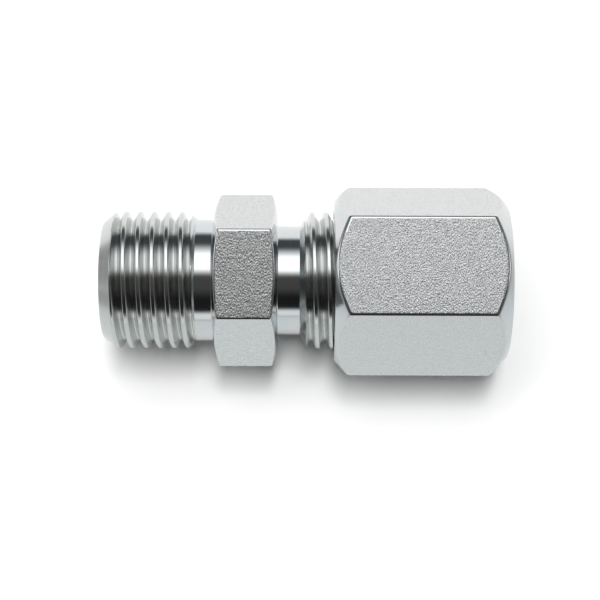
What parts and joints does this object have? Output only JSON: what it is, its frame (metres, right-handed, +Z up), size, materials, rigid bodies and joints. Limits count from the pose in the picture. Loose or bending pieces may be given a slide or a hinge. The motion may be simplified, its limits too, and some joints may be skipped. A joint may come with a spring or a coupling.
{
  "type": "straight tube connector",
  "caption": "Straight male stud tube connector in zinc-plated steel: turned body with hexagon, cutting ring in its cone and a union nut that screws on the tube side.",
  "frame": {"origin": "on the surface that the fitting lies on, under the middle of its overall length and under its flow axis", "axes": "+X along the flow axis from the threaded stud to the union nut, +Z up, with the nut resting on one of its flats"},
  "size_m": [0.0288, 0.0138, 0.012],
  "materials": {
    "bright_zinc": "bright zinc plating with a faint blue passivation, mirror-like where turned and finely grained on the hexagon flats",
    "hardened_ring_steel": "fine-turned hardened steel, dull yellowish grey"
  },
  "bodies": {
    "body": {"fitting_body": "bright_zinc"},
    "ring": {"cutting_ring": "hardened_ring_steel"},
    "nut": {"union_nut": "bright_zinc"}
  },
  "joints": [
    {"name": "ring_slide", "type": "slide", "parent": "body", "child": "ring", "axis": [1, 0, 0], "range_m": [0, 0.00401]},
    {"name": "nut_turn", "type": "hinge", "parent": "ring", "child": "nut", "pos_m": [0.0082, 0, 0.006], "axis": [1, 0, 0], "range_deg": [0, 1440]}
  ],
  "couplings": [
    {"joint": "ring_slide", "follows": "nut_turn", "m_per_rad": 0.00015915}
  ]
}
